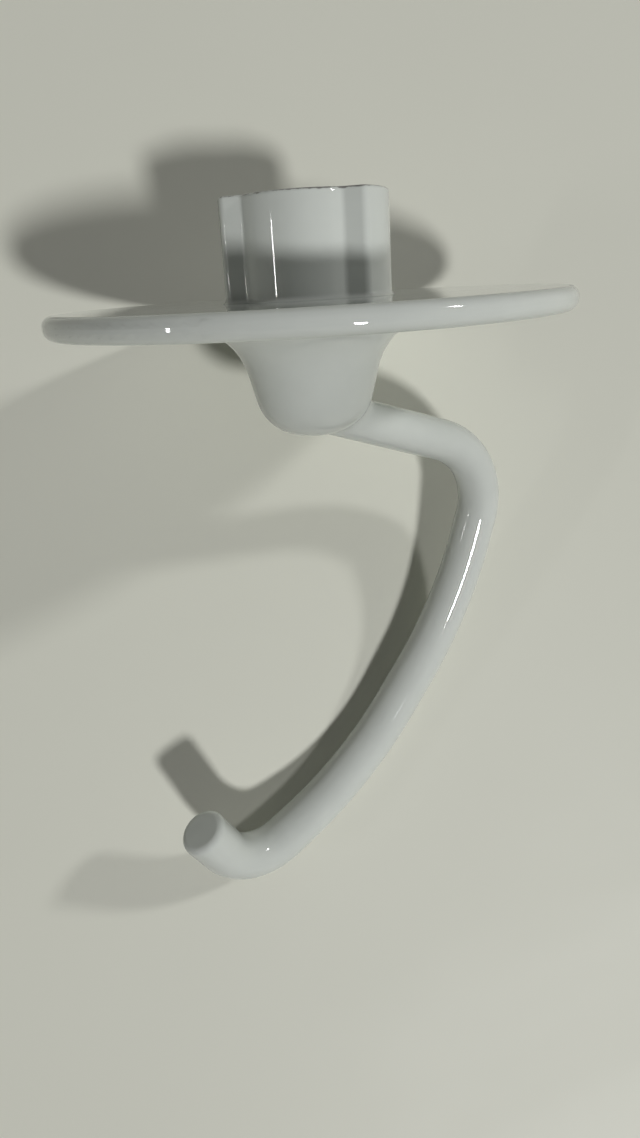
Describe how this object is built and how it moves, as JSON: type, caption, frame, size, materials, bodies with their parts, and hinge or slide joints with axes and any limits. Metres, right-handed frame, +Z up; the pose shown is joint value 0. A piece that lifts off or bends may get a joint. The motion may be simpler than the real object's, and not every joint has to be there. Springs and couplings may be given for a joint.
{
  "type": "stand mixer dough hook",
  "caption": "Cast dough hook: a lobed hub with a pin-slotted shaft bore, a round guard disc, a bell-shaped boss and a curved round arm with a turned-up tip.",
  "frame": {"origin": "centre of the bounding box in X and Y, at its lowest point, where the arm and the disc rim touch down", "axes": "+Z up from the surface that the hook lies on, +Y from the toe towards the hub, +X to the arm's elbow"},
  "size_m": [0.1016, 0.1438, 0.0959],
  "materials": {
    "white_coat": "glossy white baked coat over cast aluminium"
  },
  "bodies": {
    "root": {"dough_hook": "white_coat"}
  },
  "joints": []
}
